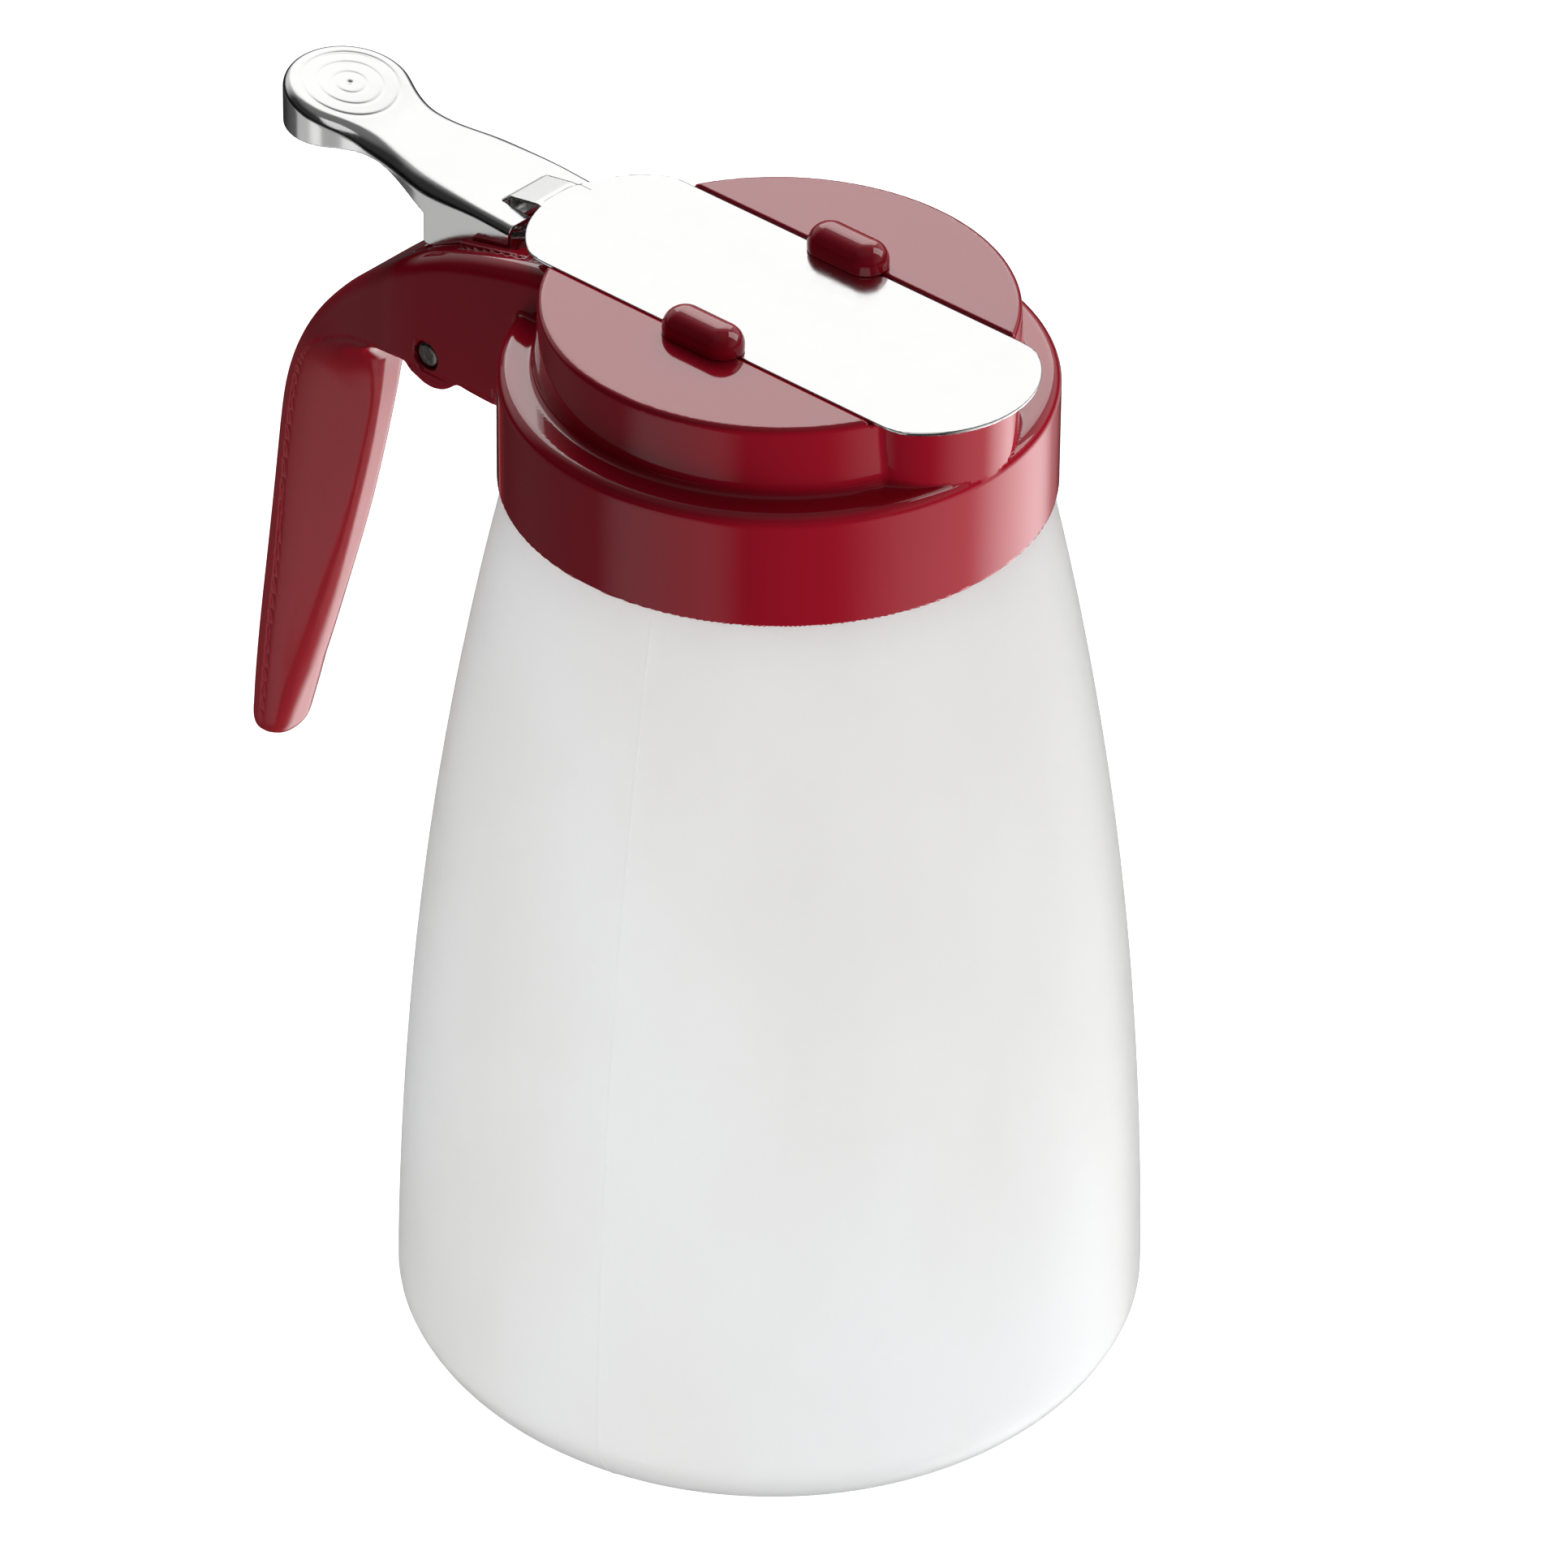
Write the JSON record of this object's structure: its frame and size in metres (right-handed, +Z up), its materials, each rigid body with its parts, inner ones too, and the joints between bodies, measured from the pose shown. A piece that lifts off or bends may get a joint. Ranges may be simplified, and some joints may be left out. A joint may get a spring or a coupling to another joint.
{
  "type": "syrup dispenser",
  "caption": "Translucent jar with a screw-on pouring top: a thumb lever on the side handle draws back a steel slide plate over the pouring opening.",
  "frame": {"origin": "middle of the jar's flat resting face", "axes": "+Z up; +X towards the pouring lip; the handle is on -X; -Y is the near side in the picture"},
  "size_m": [0.1768, 0.1224, 0.2038],
  "materials": {
    "jar_plastic": "natural translucent plastic, satin, faint mould line",
    "red_plastic": "glossy deep red moulding",
    "bright_steel": "bright pressed stainless sheet",
    "pin_steel": "polished steel pin",
    "spring_wire": "drawn spring wire",
    "seal": "soft white sealing ring"
  },
  "bodies": {
    "jar": {"jar": "jar_plastic"},
    "seal": {"sealing_ring": "seal"},
    "top": {"screw_top": "red_plastic", "guide_stud_near": "red_plastic", "guide_stud_far": "red_plastic", "pivot_pin": "pin_steel", "return_spring": "spring_wire"},
    "lever": {"thumb_lever": "bright_steel"},
    "plate": {"slide_plate": "bright_steel"}
  },
  "joints": [
    {"name": "top_lift", "type": "slide", "parent": "jar", "child": "seal", "axis": [0, 0, 1], "range_m": [0, 0.0178]},
    {"name": "top_unscrew", "type": "hinge", "parent": "seal", "child": "top", "pos_m": [0, 0, 0.1772], "axis": [0, 0, 1], "range_deg": [0, 1260]},
    {"name": "lever_press", "type": "hinge", "parent": "top", "child": "lever", "pos_m": [-0.0613, 0, 0.1705], "axis": [0, -1, 0], "range_deg": [0, 30], "stiffness_Nm_per_rad": 0.3, "springref_deg": -17.19, "deforming": ["return_spring"]},
    {"name": "plate_slide", "type": "slide", "parent": "top", "child": "plate", "axis": [-1, 0, 0], "range_m": [0, 0.0128]}
  ],
  "couplings": [
    {"joint": "top_lift", "follows": "top_unscrew", "m_per_rad": 0.00080851},
    {"joint": "plate_slide", "follows": "lever_press", "m_per_rad": 0.0242}
  ]
}
